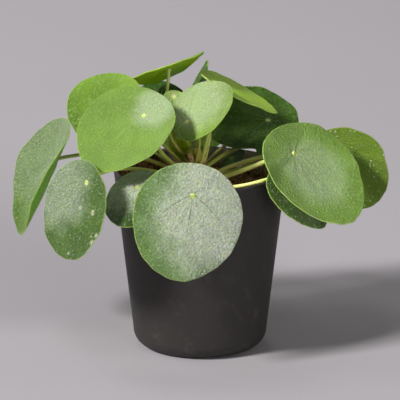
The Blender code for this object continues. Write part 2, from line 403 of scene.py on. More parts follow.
def soil_height(x, y):
    """Height of the compost: heap * (1 - (reach / radius)^2) above its edge, plus lumps of three sizes."""
    reach = np.hypot(x, y) / SOIL_RADIUS
    heap = SOIL_EDGE + SOIL_HEAP * (1 - reach ** 2)
    return heap + sum(height * value_noise(x, y, size, seed) for height, size, seed in SOIL_LUMPS)


def soil_mesh():
    """A round top of points (reach cos turn, reach sin turn, soil height), and a plain side and bottom."""
    reach = np.linspace(0.02, 1.0, 96)[:, None] * (SOIL_RADIUS - 0.15)
    turn = np.linspace(0.0, math.tau, SOIL_SECTORS, endpoint=False)[None, :]
    x = reach * np.cos(turn)
    y = reach * np.sin(turn)
    top = np.stack([x, y, soil_height(x, y)], -1)
    inner = pot_wall(SOIL_BOTTOM, POT_WALL + 0.4)
    base = turned_rows([(inner, SOIL_BOTTOM), (inner * 0.5, SOIL_BOTTOM)], SOIL_SECTORS)
    rows = np.concatenate([top, base]) * MM
    centre = (0.0, 0.0, float(soil_height(0.0, 0.0)) * MM)
    return rolled_mesh("compost", rows, centre, (0.0, 0.0, SOIL_BOTTOM * MM))


def compost_finish(name, dark, light, size):
    """Crumbly organic matter: mottled at the crumb's size, glossier in damp patches."""
    made = Finish(name)
    place = made.place()
    mottle = made.noise(place, 1.0 / size, 5.0, 0.7)
    grain = made.noise(place, 6.0 / size, 3.0, 0.65)
    speck = made.cells(place, 2.0 / size)
    mixed = made.blend((mottle * 0.65 + grain * 0.35).between(0.36, 0.66), dark, light)
    damp = made.noise(place, 30.0, 2.0).between(0.35, 0.6)
    relief = made.bump(grain * 0.6 + speck * 0.5, size * 0.3, 0.8)
    return made.feed(Base_Color=mixed, Roughness=0.95 - 0.3 * damp, Normal=relief)


def lump_template():
    """A unit ball's points (sin slope cos turn, sin slope sin turn, cos slope), triangles and quads."""
    slope = np.linspace(0, math.pi, LUMP_RINGS + 2)[1:-1, None]
    turn = np.linspace(0, math.tau, LUMP_CORNERS, endpoint=False)[None, :]
    ball = np.stack([np.sin(slope) * np.cos(turn), np.sin(slope) * np.sin(turn),
                     np.cos(slope) + 0 * turn], -1)
    points = np.concatenate([[[0, 0, 1]], ball.reshape(-1, 3), [[0, 0, -1]]])
    here = np.arange(LUMP_CORNERS)
    after = (here + 1) % LUMP_CORNERS
    low = 1 + np.arange(LUMP_RINGS - 1)[:, None] * LUMP_CORNERS
    high = low + LUMP_CORNERS
    last = 1 + (LUMP_RINGS - 1) * LUMP_CORNERS
    top = np.stack([0 * here, 1 + here, 1 + after], -1)
    bottom = np.stack([last + after, last + here, 0 * here + len(points) - 1], -1)
    quads = np.stack([low + here, high + here, high + after, low + after], -1)
    return points, np.concatenate([top, bottom]), quads.reshape(-1, 4)


def scatter(name, count, sizes, stretch, seed):
    """Mesh of many small uneven lumps lying on the compost.

    Each is the unit ball with its points moved in or out by up to a third, stretched along three
    axes, turned any way and set so that part of it is buried.
    """
    chance = np.random.default_rng(seed)
    points, triangles, quads = lump_template()
    distance = np.sqrt(chance.uniform(0, 1, count)) * LOOSE_REACH * SOIL_RADIUS
    turn = chance.uniform(0, math.tau, count)
    x = distance * np.cos(turn)
    y = distance * np.sin(turn)
    clear = np.hypot(x - STEM_AXIS[0], y - STEM_AXIS[1]) > STEM_CLEARANCE
    x, y = x[clear], y[clear]
    count = len(x)
    size = chance.uniform(sizes[0], sizes[1], (count, 1, 1))
    shape = np.array(stretch) * chance.uniform(0.7, 1.3, (count, 1, 3))
    uneven = chance.uniform(0.72, 1.15, (count, len(points), 1))
    frames, _ = np.linalg.qr(chance.normal(size=(count, 3, 3)))
    frames *= np.sign(np.linalg.det(frames))[:, None, None]
    flat = np.eye(3)[None] * 0.9 + frames * 0.35 if stretch[0] > 2 else frames
    yaw = chance.uniform(0, math.tau, count)
    spin = np.zeros((count, 3, 3))
    spin[:, 0, 0] = spin[:, 1, 1] = np.cos(yaw)
    spin[:, 1, 0] = np.sin(yaw)
    spin[:, 0, 1] = -np.sin(yaw)
    spin[:, 2, 2] = 1.0
    local = (points[None] * uneven * shape * size) @ np.swapaxes(spin @ flat, 1, 2)
    lift = soil_height(x, y) + LOOSE_LIFT * size[:, 0, 0]
    local += np.stack([x, y, lift], -1)[:, None, :]
    shift = np.arange(count)[:, None, None] * len(points)
    faces = (triangles + shift).reshape(-1, 3).tolist() + (quads + shift).reshape(-1, 4).tolist()
    mesh = bpy.data.meshes.new(name)
    mesh.from_pydata((local.reshape(-1, 3) * MM).tolist(), [], faces)
    mesh.shade_smooth()
    return mesh


PEAT = compost_finish("peat", tone(84, 60, 36), tone(196, 154, 100), 0.0016)
BARK = compost_finish("bark_chips", tone(176, 80, 42), tone(240, 146, 90), 0.0022)
THREAD = compost_finish("bark_threads", tone(200, 156, 92), tone(244, 214, 156), 0.0016)
PERLITE = compost_finish("perlite", tone(196, 190, 178), tone(236, 232, 224), 0.0009)
install("compost", soil_mesh(), PEAT, "compost", "soil")
install("compost_crumbs", scatter("crumbs", 1500, (0.5, 1.5), (1, 1, 0.9), 11), PEAT, "compost")
install("compost_bark", scatter("bark", 300, (0.7, 1.7), (2.2, 1.0, 0.5), 12), BARK, "compost")
install("compost_threads", scatter("threads", 170, (0.35, 0.6), (9, 0.5, 0.4), 13), THREAD, "compost")
install("compost_perlite", scatter("perlite", 90, (0.5, 1.3), (1, 0.9, 0.9), 14), PERLITE, "compost")


# ---------------------------------------------------------------------------------------------
# Stem: short and woody, ringed with the scars of fallen leaves.  Dry brown stipules, thin as
# paper, stand around its crown where the stalks leave it.
# ---------------------------------------------------------------------------------------------

STEM_RADIUS = 6.0
STEM_TOP = stem_high[2]
STEM_DOME = 4.0
STEM_SECTORS = 72
STIPULES = 44
# points along and across each stipule
STIPULE_STEPS = 9
STIPULE_ACROSS = 5


def stem_mesh():
    """A rod of radius (stem + foot + rings + grooves) * dome, swollen at each leaf scar.

    foot falls off as a bell curve of the height, rings are powers of a cosine of the height, grooves
    are sines of the turn, and dome follows a quarter circle over the last few millimetres.
    """
    shoulder = STEM_TOP - STEM_DOME
    shaft = np.linspace(stem_low[2] + 2, shoulder, 90)
    crown = shoulder + STEM_DOME * np.sin(np.linspace(0.1, 1.45, 14))
    height = np.concatenate([shaft, crown])[:, None]
    turn = np.linspace(0, math.tau, STEM_SECTORS, endpoint=False)[None, :]
    dome = np.sqrt(np.clip(1 - ((height - shoulder) / STEM_DOME).clip(0) ** 2, 0.01, 1))
    foot = 1.0 * np.exp(-((height - stem_low[2]) / 14.0) ** 2)
    rings = 0.35 * np.cos(height * 1.35 + 0.6 * np.sin(turn)) ** 6
    grooves = 0.22 * np.sin(7 * turn + 0.25 * height) + 0.15 * np.sin(17 * turn - 0.4 * height)
    radius = (STEM_RADIUS - 0.3 + foot + rings + grooves) * dome
    x = STEM_AXIS[0] + radius * np.cos(turn)
    y = STEM_AXIS[1] + radius * np.sin(turn)
    rows = np.stack([x, y, height + 0 * turn], -1)[::-1] * MM
    top = (STEM_AXIS[0] * MM, STEM_AXIS[1] * MM, STEM_TOP * MM)
    foot_point = (STEM_AXIS[0] * MM, STEM_AXIS[1] * MM, (stem_low[2] + 1.5) * MM)
    return rolled_mesh("stem", rows, top, foot_point)


def stem_finish():
    """Young bark: olive green above, brown and corky below, streaked along its fibres."""
    made = Finish("young_bark")
    place = made.place()
    height = made.part(place, "Z")
    fibre = made.noise(place, 380.0, 5.0, 0.7)
    blotch = made.noise(place, 120.0, 3.0)
    green = (height + 0.012 * blotch).between(0.132, 0.152)
    bark = made.blend(fibre.between(0.35, 0.65), tone(92, 72, 42), tone(168, 140, 88))
    fresh = made.blend(fibre, tone(136, 138, 40), tone(186, 184, 74))
    relief = made.bump(fibre * 0.8 + blotch * 0.4, 0.0006, 0.8)
    return made.feed(Base_Color=made.blend(green, bark, fresh), Roughness=0.6 + 0.3 * blotch, Normal=relief)


def stipule_mesh(count, seed):
    """Small dry scales around the stem: each a narrow pointed strip, curled and bent outwards.

    A strip's half width is width * taper and it stands off the stem by lean * length * along^1.5,
    plus a curl that grows with the square of the distance from its middle line.
    """
    chance = np.random.default_rng(seed)
    along = np.linspace(0, 1, STIPULE_STEPS)[None, :, None]
    across = np.linspace(-1, 1, STIPULE_ACROSS)[None, None, :]
    turn = chance.uniform(0, math.tau, (count, 1, 1))
    foot = chance.uniform(118, STEM_TOP - 6, (count, 1, 1))
    length = chance.uniform(5, 11, (count, 1, 1))
    width = chance.uniform(1.2, 2.4, (count, 1, 1))
    lean = chance.uniform(0.15, 0.8, (count, 1, 1))
    taper = (1 - along) ** 0.6 * (0.55 + 0.45 * np.sin(math.pi * along))
    side = across * width * taper
    out = STEM_RADIUS + 0.2 + lean * length * along ** 1.5 + 0.35 * (side ** 2) / width
    twist = turn + 0.25 * along * np.sin(seed + turn * 5) + side / STEM_RADIUS
    x = STEM_AXIS[0] + out * np.cos(twist)
    y = STEM_AXIS[1] + out * np.sin(twist)
    z = foot + length * along * (1 - 0.3 * lean * along) + 0 * side
    points = np.stack([x, y, z], -1)
    cell = np.arange(STIPULE_STEPS - 1)[:, None] * STIPULE_ACROSS + np.arange(STIPULE_ACROSS - 1)[None, :]
    above = cell + STIPULE_ACROSS
    quads = np.stack([cell, cell + 1, above + 1, above], -1).reshape(-1, 4)
    shift = np.arange(count)[:, None, None] * STIPULE_STEPS * STIPULE_ACROSS
    every = (quads + shift).reshape(-1, 4)
    mesh = bpy.data.meshes.new("stipules")
    mesh.from_pydata((points.reshape(-1, 3) * MM).tolist(), [], every.tolist())
    mesh.shade_smooth()
    return mesh


def stipule_finish():
    """Dry papery brown, lighter along streaks."""
    made = Finish("dry_stipule")
    place = made.place()
    streak = made.noise(place, 500.0, 4.0, 0.6)
    patch = made.noise(place, 160.0, 2.0)
    colour = made.blend(streak.between(0.35, 0.65), tone(150, 112, 64), tone(222, 192, 140))
    relief = made.bump(streak, 0.0003, 0.6)
    return made.feed(Base_Color=colour, Roughness=0.6 + 0.3 * patch, Normal=relief)


install("stem_bark", stem_mesh(), stem_finish(), "stem_bark", "stem")
stipules = install("stem_stipules", stipule_mesh(STIPULES, 21), stipule_finish(), "stem_bark")
paper = stipules.modifiers.new("paper", "SOLIDIFY")
paper.thickness = 0.15 * MM
paper.offset = 0.0


# ---------------------------------------------------------------------------------------------
# Leaf blades: round, fleshy and about 1 mm thick, each carried at a point inside its edge.  The
# upper face is waxy with a bright dot over the stalk; the underside is yellower and smoother.
# ---------------------------------------------------------------------------------------------

BLADE_THICKNESS = 1.0
BLADE_RINGS = 34
BLADE_SECTORS = 132
# side of the square, in millimetres, that a blade's chart covers, with the hub in its middle
CHART_SPAN = 100.0

Leaf = namedtuple("Leaf", "name compass tilt spin length width cup bend share egg ripple")
# compass, tilt and spin in degrees say which way the upper face looks, how steeply it hangs and how
# far its tip is turned from straight downhill.  length and width in millimetres are the blade's, cup
# and bend how much its sides and its tip rise above the hub, share the part of the length behind the
# hub and egg how much the tip narrows (both in hundredths), and ripple how wavy the edge is.
LEAVES = (
    Leaf("a", -78, 67, -3, 92, 89, 14, 2, 33, 0, 0.5),
    Leaf("b", -47, 79, -17, 74, 62, 3, 0, 20, 4, 0.8),
    Leaf("c", -23, 43, -30, 76, 68, 6, 1, 27, 6, 0.5),
    Leaf("d", -35, 66, -2, 60, 66, 10, -6, 33, 2, 0.5),
    Leaf("e", 229, 28, -39, 62, 57, 2, -2, 34, 20, 0.4),
    Leaf("f", -43, 53, 154, 51, 48, 1, -3, 25, 8, 0.3),
    Leaf("g", 3, 51, 0, 17, 15, 3, 0, 30, 8, 0.1),
    Leaf("h", 9, 41, 0, 48, 40, 0, -3, 30, 8, 0.4),
    Leaf("i", -78, 63, 147, 32, 38, -1, 2, 33, 8, 0.3),
    Leaf("j", 95, 29, -22, 63, 59, 1, 1, 33, 17, 0.4),
    Leaf("k", -20, 70, 10, 28, 17, 0, -2, 30, 8, 0.2),
    Leaf("l", 3, 28, -87, 74, 69, 3, 2, 30, 0, 0.6),
    Leaf("m", 43, 50, 11, 86, 80, 5, 4, 26, 13, 0.6),
    Leaf("n", 156, 86, -7, 65, 66, -2, 5, 31, 15, 1.2),
    Leaf("o", 54, 59, -21, 56, 59, -6, 2, 20, 5, 0.5),
    Leaf("p", 16, 79, -12, 84, 79, -5, -3, 28, 8, 0.7),
    Leaf("q", -31, 37, 4, 49, 46, -4, -3, 34, 8, 0.4),
    Leaf("r", -60, 43, 48, 19, 22, 0, 0, 30, 8, 0.2),
    Leaf("s", 30, 40, 0, 24, 22, 0, 0, 30, 8, 0.2),
    Leaf("t", 175, 40, 0, 60, 56, 3, 0, 30, 8, 0.6),
    Leaf("u", 150, 45, 0, 58, 55, 3, 0, 30, 8, 0.6),
    Leaf("v", -140, 50, 0, 52, 50, 3, 0, 30, 8, 0.6),
)


def direction(compass):
    """Level unit vector: compass 0 looks to the front, 90 to the right."""
    return np.array([math.sin(math.radians(compass)), -math.cos(math.radians(compass)), 0.0])


def leaf_axes(leaf):
    """Rows of the blade's own axes: the way to its tip, its side, and its upward normal."""
    tilt = math.radians(leaf.tilt)
    spin = math.radians(leaf.spin)
    outward = direction(leaf.compass)
    up = np.array([0.0, 0.0, 1.0])
    normal = math.sin(tilt) * outward + math.cos(tilt) * up
    downhill = math.cos(tilt) * outward - math.sin(tilt) * up
    tip = downhill * math.cos(spin) + np.cross(normal, downhill) * math.sin(spin)
    return np.stack([tip, np.cross(normal, tip), normal])


def plain_blade(leaf, reach, turn):
    """Smooth blade in its own axes: reach 0 at the hub and 1 at the rim, turn 0 towards the tip.

    x = reach * (c + a * cos(turn)) and y = reach * b * sin(turn) * (1 - egg * cos(turn)), with a and
    b half the length and width and c the hub's distance from the middle; the face rises by
    cup * (y/b)^2 + bend * (x/a)^2.
    """
    a = leaf.length / 2
    b = leaf.width / 2
    x = reach * (a * (1 - 2 * leaf.share / 100) + a * np.cos(turn))
    y = reach * b * np.sin(turn) * (1 - leaf.egg / 100 * np.cos(turn))
    return np.stack([x, y, leaf.cup * (y / b) ** 2 + leaf.bend * (x / a) ** 2], -1)


def leaf_hub(leaf):
    """The hub's place in millimetres: where the plain blade's box fits the CAD blade's box."""
    reach = np.linspace(0, 1, 4)[:, None]
    turn = np.linspace(0, math.tau, 20, endpoint=False)[None, :]
    face = (plain_blade(leaf, reach, turn) @ leaf_axes(leaf)).reshape(-1, 3)
    both = np.concatenate([face, face - BLADE_THICKNESS * leaf_axes(leaf)[2]])
    low, high = (np.array(corner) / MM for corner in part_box("blade_" + leaf.name))
    return (low + high) / 2 - (both.min(0) + both.max(0)) / 2


def uneven_blade(leaf, reach, turn):
    """The plain blade with a living leaf's unevenness.

    The outline swells and shrinks by about 1 %, the edge ripples, the flesh between the main veins
    is pillowed, and the face dips into a small navel over the stalk.
    """
    seed = ord(leaf.name)
    swell = 0.009 * np.sin(2 * turn + seed) + 0.007 * np.sin(3 * turn + 2.1 * seed)
    swell = swell + 0.004 * np.sin(7 * turn + 1.3 * seed) + 0.003 * np.sin(19 * turn + seed)
    surface = plain_blade(leaf, reach * (1 + swell * reach ** 3), turn)
    x, y = surface[..., 0], surface[..., 1]
    size = leaf.length / 80
    wave = np.sin(4 * turn + 1.7 * seed) + 0.7 * np.sin(7 * turn + 0.9 * seed)
    wave = wave + 0.35 * np.sin(13 * turn + seed)
    rise = leaf.ripple * size * wave * reach ** 4
    rise = rise + 0.45 * size * np.cos(9 * turn + 0.4 * np.sin(2 * turn)) * reach * (1 - reach) * 2.2
    rise = rise + 0.5 * size * value_noise(x, y, 16.0, seed) * reach
    rise = rise - 1.1 * size * np.exp(-(np.hypot(x, y) / (3.2 * size)) ** 2)
    rise = rise + 0.35 * size * np.exp(-(np.hypot(x, y) / (1.3 * size)) ** 2)
    surface[..., 2] += rise
    return surface


def blade_mesh(leaf):
    """Upper face from hub to rim, a rounded rim, and the underside back to the hub.

    Each ring has a reach and a depth below the upper face; around the rim both follow a half circle
    of the blade's thickness.
    """
    half = BLADE_THICKNESS / 2 * min(1.0, leaf.length / 40)
    edge = 1 - half / (leaf.length / 2)
    inner = 0.02 + (edge - 0.02) * np.linspace(0, 1, BLADE_RINGS) ** 0.8
    round_off = np.radians(np.linspace(-70, 70, 7))
    reach = np.concatenate([inner, edge + (1 - edge) * np.cos(round_off), inner[::-1]])[:, None]
    depth = np.concatenate([0 * inner, half + half * np.sin(round_off), 0 * inner + 2 * half])[:, None]
    under = np.concatenate([0 * inner, np.linspace(0, 1, 7), 0 * inner + 1])[:, None]
    turn = np.linspace(0, math.tau, BLADE_SECTORS, endpoint=False)[None, :]
    surface = uneven_blade(leaf, reach, turn)
    surface[..., 2] -= depth
    hub = uneven_blade(leaf, np.zeros((1, 1)), np.zeros((1, 1)))[0, 0]
    axes = leaf_axes(leaf)
    place = leaf_hub(leaf)
    chart = np.concatenate([[hub[:2]], surface[..., :2].reshape(-1, 2), [hub[:2]]])
    chart = chart / CHART_SPAN + 0.5
    wide = np.broadcast_to(reach, surface.shape[:2]).ravel()
    below = np.broadcast_to(under, surface.shape[:2]).ravel()
    marks = {
        "toward_rim": np.concatenate([[0], wide, [0]]),
        "underside": np.concatenate([[0], below, [1]]),
    }
    rows = (surface @ axes + place) * MM
    top = (hub @ axes + place) * MM
    bottom = top - 2 * half * axes[2] * MM
    return rolled_mesh("blade_" + leaf.name, rows, top, bottom, marks, chart)


# pale yellow-green of the wax, also used as the painted sheen that the bloom lays on the leaves
WAX_AND_SHEEN = tone(211, 222, 196)
CHALK = tone(218, 222, 190)
SCAR = tone(206, 200, 172)
HUB_DOT = tone(224, 240, 140)
# pale margin colour, also standing in as a painted highlight where the edge catches light
RIM = tone(184, 206, 122)
UNDER = tone(138, 178, 40)


def darker(colour, share):
    """A deeper shade of a colour."""
    return (*(part * share for part in colour[:3]), 1.0)


def paler(colour, share):
    """A colour part of the way to pale yellow-green wax."""
    return (*(part + share * (wax - part) for part, wax in zip(colour[:3], WAX_AND_SHEEN[:3])), 1.0)


def blade_finish(name, face, under, gloss=0.4, shine=0.5, crinkle=1.0, wax_and_sheen=(0.0, 0.0, 0.0, 30.0),
                 scars=(), specks=0.0, veins=0.15, edge=None, dot=1.0):
    """Waxy leaf on the blade's own chart.

    face and under are the greens of the two sides, gloss is the wax's roughness, shine its mirror
    strength and crinkle the depth of its fine relief, and of the painted highlight on its raised
    crinkles and the painted shade in its creases.  bloom is a pale waxy film laid where a sheen
    shows, so partly wax and partly painted sheen: how strong, its middle along and across the blade,
    and its reach.  scars are (along, across, size), specks is how much chalky dust lies on the leaf,
    veins how deep the three main veins are pressed in, edge the rim's colour, a pale margin partly
    lightened as a painted highlight, and dot how bright the dot over the stalk is.
    """
    made = Finish(name, Subsurface_Weight=0.75, Subsurface_Radius=(0.7, 1.0, 0.15),
                  Subsurface_Scale=0.003, IOR=1.45, Specular_IOR_Level=shine)
    chart = made.add("ShaderNodeUVMap", {"uv_map": "leaf_chart"})
    shift = (0.0, 0.0, 1.7 * len(name) + 0.31 * ord(name[-1]))
    own = made.add("ShaderNodeVectorMath", {"operation": "ADD"}, {0: chart, 1: shift})
    x = (made.part(chart, "X") - 0.5) * CHART_SPAN
    y = (made.part(chart, "Y") - 0.5) * CHART_SPAN
    away = (x * x + y * y) ** 0.5
    around = made.add("ShaderNodeMath", {"operation": "ARCTAN2"}, {0: y, 1: x})
    cloud = made.noise(own, 5.0, 3.0)
    sway = made.noise(own, 9.0, 2.0) - 0.5
    mottle = made.noise(own, 58.0, 3.0, 0.6)
    grain = made.noise(own, 150.0, 3.0, 0.65)
    wrinkle = made.noise(own, 34.0, 3.0, 0.6)
    crease = abs(wrinkle - 0.5).between(0.05, 0.0) * crinkle
    net = made.cells(own, 15.0, "DISTANCE_TO_EDGE").between(0.06, 0.0)
    ray_gap = abs((around * 4.5 + sway * 2.4).sine()) * away * 0.22
    rays = ray_gap.between(0.5, 0.0) * away.between(34.0, 6.0)
    star = ray_gap.between(0.8, 0.0) * away.between(12.0, 2.0)
    hub = away.between(3.6, 0.6)
    rim = made.attribute("toward_rim").between(0.986, 0.996)
    below = made.attribute("underside")
    arch = abs(abs(y - 0.1 * x) - 3.4 * (x.larger(0.01) ** 0.68))
    vein = arch.between(0.65, 0.1).larger(abs(y).between(0.6, 0.1))
    vein = vein * x.between(-0.5, 2.0) * away.between(38.0, 10.0) * veins

    upper = made.blend(cloud.between(0.3, 0.7), face, darker(face, 0.78))
    upper = made.blend(grain.between(0.42, 0.72) * 0.4, upper, paler(face, 0.22))
    upper = made.blend((0.62 - grain).between(0.12, 0.3) * 0.35, upper, darker(face, 0.66))
    # painted highlight: paler where the fine relief rises, scaled by crinkle
    upper = made.blend((mottle - 0.5).between(0.05, 0.16) * 0.3 * crinkle, upper, paler(face, 0.35))
    upper = made.blend(net * 0.12 + rays * 0.16, upper, paler(face, 0.3))
    # the bloom is partly wax and partly painted sheen, laid where the leaf mirrors the lamps
    strength, along, across, reach = wax_and_sheen
    if strength:
        spot = ((x - along) * (x - along) + (y - across) * (y - across)) ** 0.5 / reach
        haze_and_sheen = (spot + (cloud - 0.5) * 0.5).between(1.0, 0.45) * (0.3 + 1.3 * mottle)
        upper = made.blend(haze_and_sheen * strength, upper, WAX_AND_SHEEN)
    # painted shade: darker along the creases of the fine relief
    upper = made.blend(crease * 0.13, upper, darker(face, 0.5))
    upper = made.blend(vein * 0.75, upper, darker(face, 0.45))
    if specks:
        patches = made.noise(own, 12.0, 2.0).between(0.48, 0.56)
        dust = made.cells(own, 30.0).between(0.24, 0.12) * patches
        upper = made.blend(dust * specks, upper, CHALK)
    for spot_x, spot_y, size in scars:
        gap = ((x - spot_x) * (x - spot_x) + (y - spot_y) * (y - spot_y)) ** 0.5
        ragged = gap / size + (mottle - 0.5) * 4.0
        upper = made.blend(ragged.between(1.0, 0.5) * 0.75, upper, SCAR)
    upper = made.blend((star * 0.45 + hub * 0.4) * dot, upper, paler(face, 0.45))
    upper = made.blend(hub.between(0.45, 0.95) * dot, upper, HUB_DOT)
    lower = made.blend(grain.between(0.4, 0.7) * 0.3 + rays * 0.3, under, paler(under, 0.25))
    if specks:
        lower = made.blend(dust * specks, lower, CHALK)
    colour = made.blend(below, upper, lower)
    # the rim's pale line is partly the leaf's margin and partly a painted highlight along the edge
    colour = made.blend(rim * 0.45, colour, edge or RIM)
    height = (grain * 0.8 + mottle * 2.2) * crinkle - crease * 0.25 - net * 0.2 - rays * 0.3 - vein * 1.6
    relief = made.bump(height, 0.0015, 1.0)
    rough = gloss + 0.16 * (mottle - 0.5) + 0.12 * (cloud - 0.5) + 0.12 * below
    return made.feed(Base_Color=colour, Roughness=rough, Normal=relief)


# the greens of leaves h, i, l, o, q and r and the underside of n are darkened by painted shade, for leaves
# that lie in the shade of others
BLADE_FINISHES = {
    "a": blade_finish("leaf_far_left", tone(88, 122, 24), UNDER, crinkle=2.6, wax_and_sheen=(0.25, -4, -20, 60)),
    "b": blade_finish("leaf_scarred", tone(80, 113, 34), UNDER, crinkle=2.8, wax_and_sheen=(0.42, 14, -24, 40),
                      scars=((18, 3, 1.8), (12, 3, 0.9), (15, 17, 2.4), (32, 28, 2.2), (26, 29, 1.6),
                             (29, 25, 1.0), (52, 8, 1.3), (40, 3, 0.8)), veins=0.4),
    "c": blade_finish("leaf_broad", tone(134, 168, 68), UNDER, crinkle=1.9, wax_and_sheen=(0.45, -9, 3, 22)),
    "d": blade_finish("leaf_bright", tone(132, 170, 54), UNDER, crinkle=2.0, shine=0.4),
    # painted light: e's underside is a bright saturated green for light shining through the blade
    "e": blade_finish("leaf_top", tone(96, 132, 40), tone(150, 176, 2), shine=0.05),
    "f": blade_finish("leaf_young", tone(116, 145, 40), UNDER, 0.32, 0.4, crinkle=0.5, wax_and_sheen=(0.3, 16, 6, 30),
                      scars=((27, 3.6, 0.7), (25.2, 2.2, 0.6), (28.4, 1.8, 0.6)), veins=0.1),
    "g": blade_finish("leaf_tiny", tone(150, 184, 84), UNDER, 0.34, crinkle=0.5),
    # painted shade: h's greens are darkened for a leaf in shade
    "h": blade_finish("leaf_shaded", tone(44, 82, 0), tone(70, 100, 10), shine=0.05),
    # painted shade: i's green is darkened for a leaf in shade
    "i": blade_finish("leaf_edge_on", tone(62, 94, 2), UNDER, shine=0.1),
    "j": blade_finish("leaf_grazed", tone(156, 196, 48), UNDER, crinkle=0.8, shine=0.2),
    "k": blade_finish("leaf_olive", tone(176, 192, 10), tone(160, 176, 10), shine=0.1),
    # painted shade: l's greens are darkened for a leaf in shade
    "l": blade_finish("leaf_back", tone(58, 92, 0), tone(84, 118, 16), crinkle=0.8, shine=0.05, dot=0.5),
    "m": blade_finish("leaf_right", tone(120, 156, 48), UNDER, crinkle=1.4, wax_and_sheen=(0.3, 20, 2, 34)),
    # painted shade: n's underside green is darkened for a leaf in shade
    "n": blade_finish("leaf_speckled", tone(96, 128, 34), tone(98, 126, 4), crinkle=1.2, specks=0.6,
                      edge=tone(150, 136, 66)),
    # painted shade: o's green is darkened for a leaf in shade
    "o": blade_finish("leaf_below", tone(74, 108, 8), UNDER, crinkle=3.6, shine=0.35),
    "p": blade_finish("leaf_creased", tone(112, 150, 62), UNDER, 0.36, 0.9, crinkle=3.4,
                      wax_and_sheen=(1.0, 10, 20, 58), veins=1.0),
    # painted shade: q's green is darkened for a leaf in shade
    "q": blade_finish("leaf_low", tone(60, 94, 8), UNDER, 0.34, 1.0, crinkle=3.6,
                      wax_and_sheen=(1.0, -16, -4, 46)),
    # painted shade: r's green is darkened for a leaf in shade
    "r": blade_finish("leaf_inner", tone(56, 92, 10), UNDER, crinkle=0.6, shine=0.2, dot=0.15),
    "hidden": blade_finish("leaf_hidden", tone(80, 122, 16), UNDER, shine=0.3),
}
for leaf in LEAVES:
    finish = BLADE_FINISHES.get(leaf.name, BLADE_FINISHES["hidden"])
    install("leaf_" + leaf.name, blade_mesh(leaf), finish, "leaf_green", "blade_" + leaf.name)


# ---------------------------------------------------------------------------------------------
# Leaf stalks: fleshy, slightly tapered rods grown out of the stem.  Each swells where it leaves
# the stem and flares into the underside of its blade.
# ---------------------------------------------------------------------------------------------

Stalk = namedtuple("Stalk", "leaf turn height radius near far finish")
# turn and height place the root on the stem; near and far, in millimetres, are the points that the
# curve bends towards after the root and before the hub, or None where it takes the usual reach
STALKS = (
    Stalk("a", -92, 122, 1.5, (-38, 4, 144), (-76, 20, 139), "olive"),
    Stalk("b", -58, 121, 1.4, (-34, -12, 136), (-68, -48, 148), "lime"),
    Stalk("c", -62, 128, 1.6, (-34, -6, 142), None, "lime"),
    Stalk("d", -98, 131, 1.3, (-28, 10, 146), (-46, 20, 166), "olive"),
    Stalk("e", -118, 137, 1.3, (-34, 8, 158), (-22, 13, 180), "olive"),
    Stalk("f", 8, 134, 1.2, (-2, -14, 148), None, "olive"),
    Stalk("g", -150, 143, 0.8, None, None, "lime"),
    Stalk("h", 150, 137, 1.2, (4, 34, 140), (-22, 58, 152), "olive"),
    Stalk("i", 100, 129, 1.2, (8, 2, 150), (12, 30, 166), "pale"),
    Stalk("j", 45, 131, 1.6, (5, -4, 148), None, "lime"),
    Stalk("k", 170, 141, 0.9, (-3, 18, 144), (-8, 27, 150), "olive"),
    Stalk("l", 125, 126, 1.5, None, (42, 42, 140), "lime"),
    Stalk("m", 62, 123, 1.8, (20, -14, 124), (50, -22, 147), "pale"),
    Stalk("n", 88, 122, 1.5, (40, -4, 146), (90, -10, 150), "pale"),
    Stalk("o", 35, 120.5, 1.3, (28, -50, 124), (50, -44, 139), "pale"),
    Stalk("p", 5, 126, 1.7, (-4, -36, 150), (-4, -64, 141), "lime"),
    Stalk("q", -28, 121, 1.2, (-22, -34, 136), (-38, -50, 142), "olive"),
    Stalk("r", 135, 120.5, 0.9, (20, 14, 119), (32, 33, 121), "olive"),
    Stalk("s", 105, 125, 1.0, (22, 12, 124), None, "lime"),
    Stalk("t", 180, 125, 1.4, None, None, "olive"),
    Stalk("u", 150, 124, 1.4, None, (38, 68, 146), "olive"),
    Stalk("v", -150, 124, 1.3, (-20, 18, 126), (-44, 46, 141), "lime"),
)
HUB_REACH = 24.0
ROOT_REACH = 12.0
STALK_SECTORS = 18


def stalk_path(stalk, leaf, steps=72):
    """Cubic curve from inside the stem's skin, past near and far, into the blade's underside.

    (1-t)^3 * start + 3 (1-t)^2 t * near + 3 (1-t) t^2 * far + t^3 * end, with t from 0 to 1.
    """
    outward = direction(stalk.turn)
    skin = np.array([*STEM_AXIS, stalk.height]) + STEM_RADIUS * outward
    near = skin + ROOT_REACH * (outward + [0, 0, 1]) if stalk.near is None else np.array(stalk.near)
    normal = leaf_axes(leaf)[2]
    hub = leaf_hub(leaf) - BLADE_THICKNESS * normal
    far = hub - HUB_REACH * normal if stalk.far is None else np.array(stalk.far)
    start = skin - 0.8 * outward
    end = hub - 0.1 * normal
    t = np.linspace(0, 1, steps)[:, None]
    return (1 - t) ** 3 * start + 3 * (1 - t) ** 2 * t * near + 3 * (1 - t) * t ** 2 * far + t ** 3 * end


